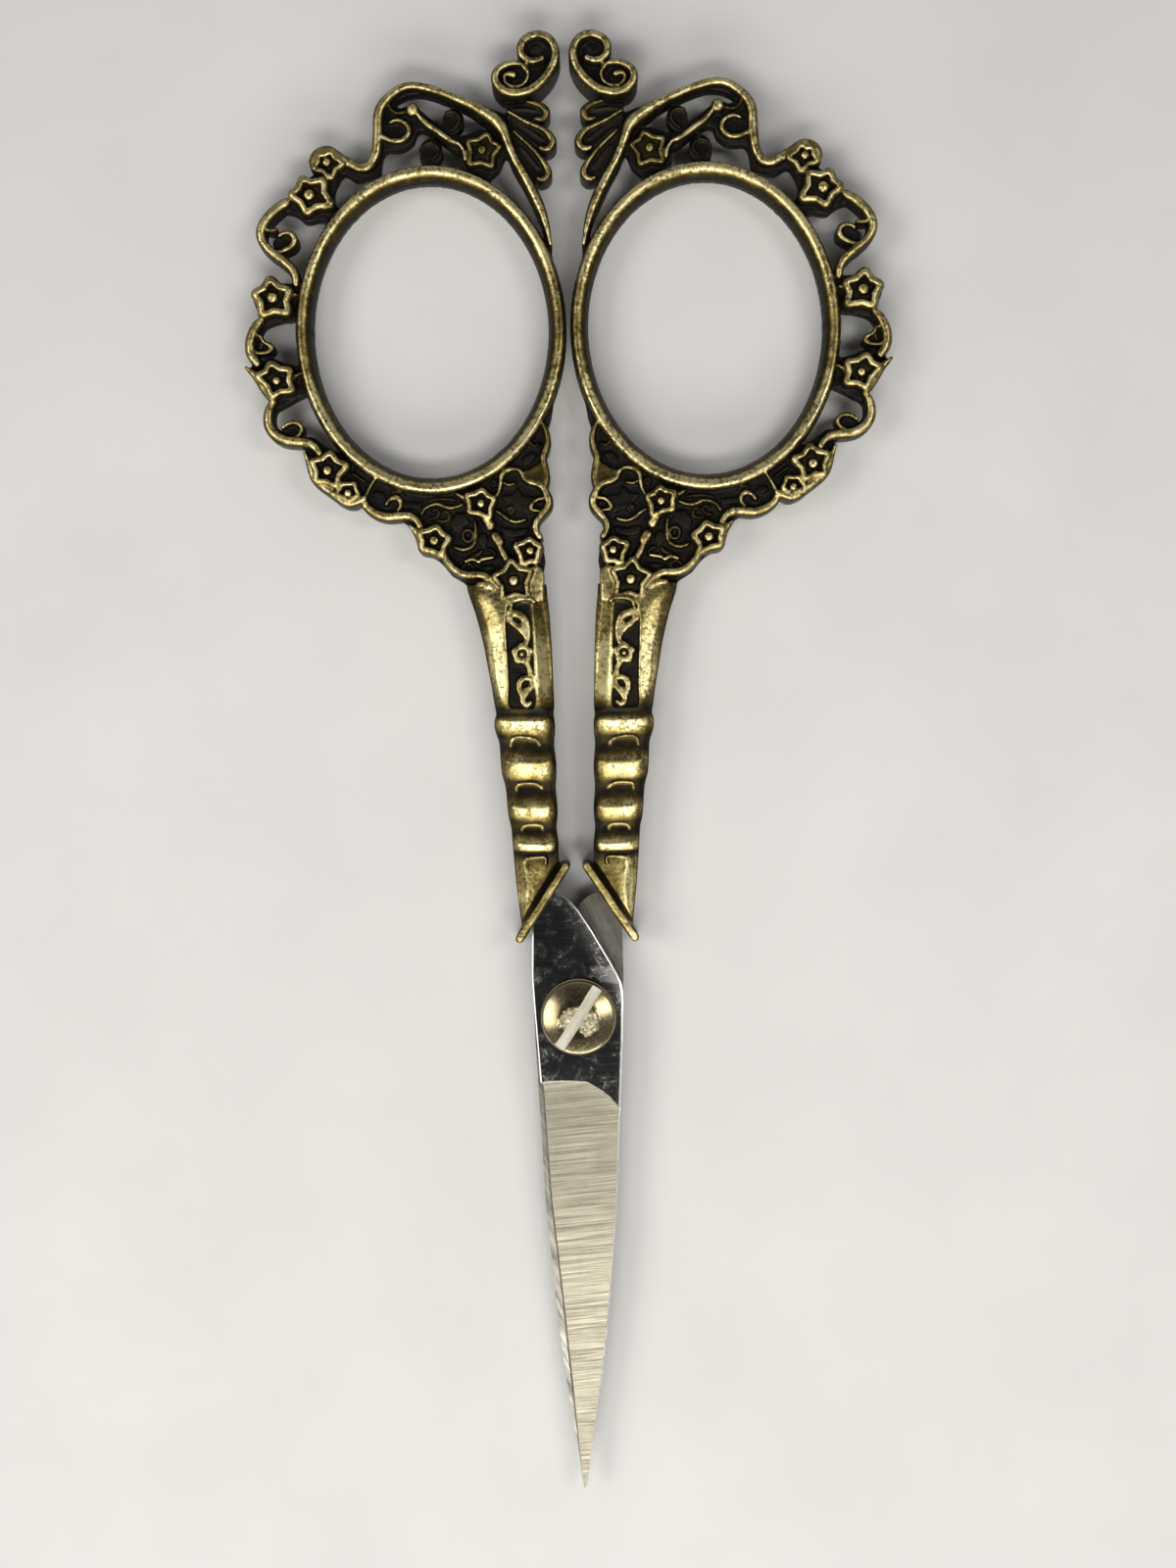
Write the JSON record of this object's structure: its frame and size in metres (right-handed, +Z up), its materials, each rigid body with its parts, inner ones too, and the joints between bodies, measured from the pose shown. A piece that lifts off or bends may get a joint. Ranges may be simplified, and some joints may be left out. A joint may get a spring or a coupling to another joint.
{
  "type": "embroidery scissors",
  "caption": "Small pointed needlework scissors with ornate openwork bronze-coloured handles, oval finger rings, waisted shanks and polished steel blades on a slotted screw.",
  "frame": {"origin": "bottom centre of the box around the closed scissors, on the surface they lie on", "axes": "+Y from the blade tips towards the finger rings, +Z up from the surface, +X to the right when seen from above with the rings at the top"},
  "size_m": [0.0558, 0.125, 0.0052],
  "materials": {
    "handles": "antique bronze plating, bright on the ridges and blackened in the recesses",
    "blades": "polished flats, fine-ground faces below the pivot",
    "pivot": "warm nickel, turned and polished"
  },
  "bodies": {
    "rear_half": {"rear_blade": "blades", "right_handle": "handles", "pivot_screw": "pivot", "pivot_washer": "pivot"},
    "front_half": {"front_blade": "blades", "left_handle": "handles"}
  },
  "joints": [
    {"name": "blade_pivot", "type": "hinge", "parent": "rear_half", "child": "front_half", "pos_m": [0, -0.0218, 0.0021], "axis": [0, 0, 1], "range_deg": [0, 110]}
  ]
}
